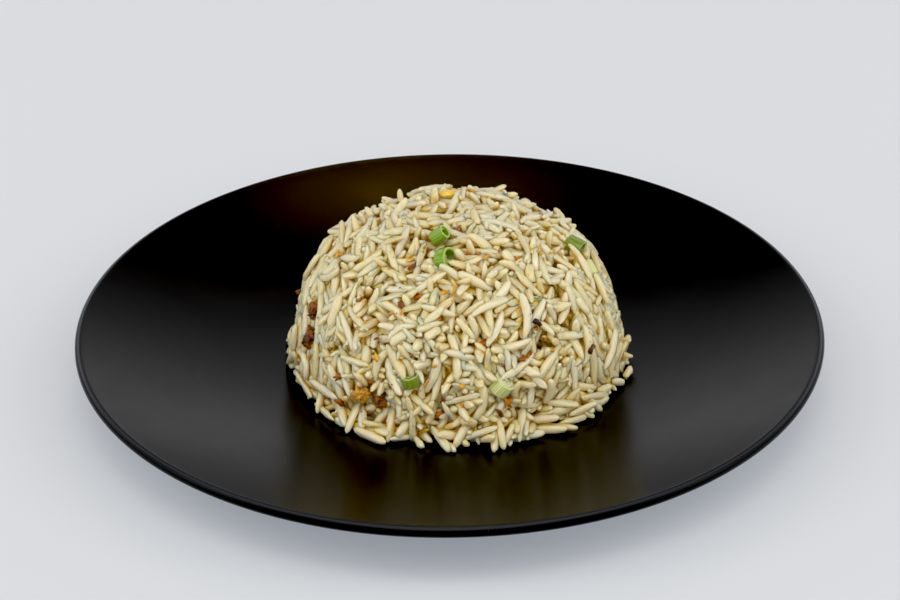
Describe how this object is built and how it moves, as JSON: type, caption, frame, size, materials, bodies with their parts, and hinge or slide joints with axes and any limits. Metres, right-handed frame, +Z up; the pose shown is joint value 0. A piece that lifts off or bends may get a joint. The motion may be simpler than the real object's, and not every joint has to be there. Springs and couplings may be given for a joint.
{
  "type": "fried rice plate",
  "caption": "Moulded dome of long-grain fried rice with spring onion and browned bits, served on a wide black coupe plate.",
  "frame": {"origin": "centre of the underside of the plate's foot, on the surface it stands on", "axes": "+Z up, the plate's own axis; -Y is the front, towards the viewer; +X is to the viewer's right"},
  "size_m": [0.28, 0.28, 0.0709],
  "materials": {
    "plate_glaze": "satin",
    "rice": "satin",
    "onion_green": "satin",
    "onion_pale": "satin",
    "browned_bits": "gloss",
    "egg": "satin"
  },
  "bodies": {
    "root": {"plate": "plate_glaze", "rice_dome": "rice", "spring_onion_1": "onion_green", "spring_onion_2": "onion_green", "spring_onion_3": "onion_green", "spring_onion_4": "onion_green", "spring_onion_5": "onion_pale", "spring_onion_6": "onion_pale", "browned_shallot_1": "browned_bits", "browned_shallot_2": "browned_bits", "browned_shallot_3": "browned_bits", "browned_shallot_4": "browned_bits", "egg_piece_1": "egg"}
  },
  "joints": []
}
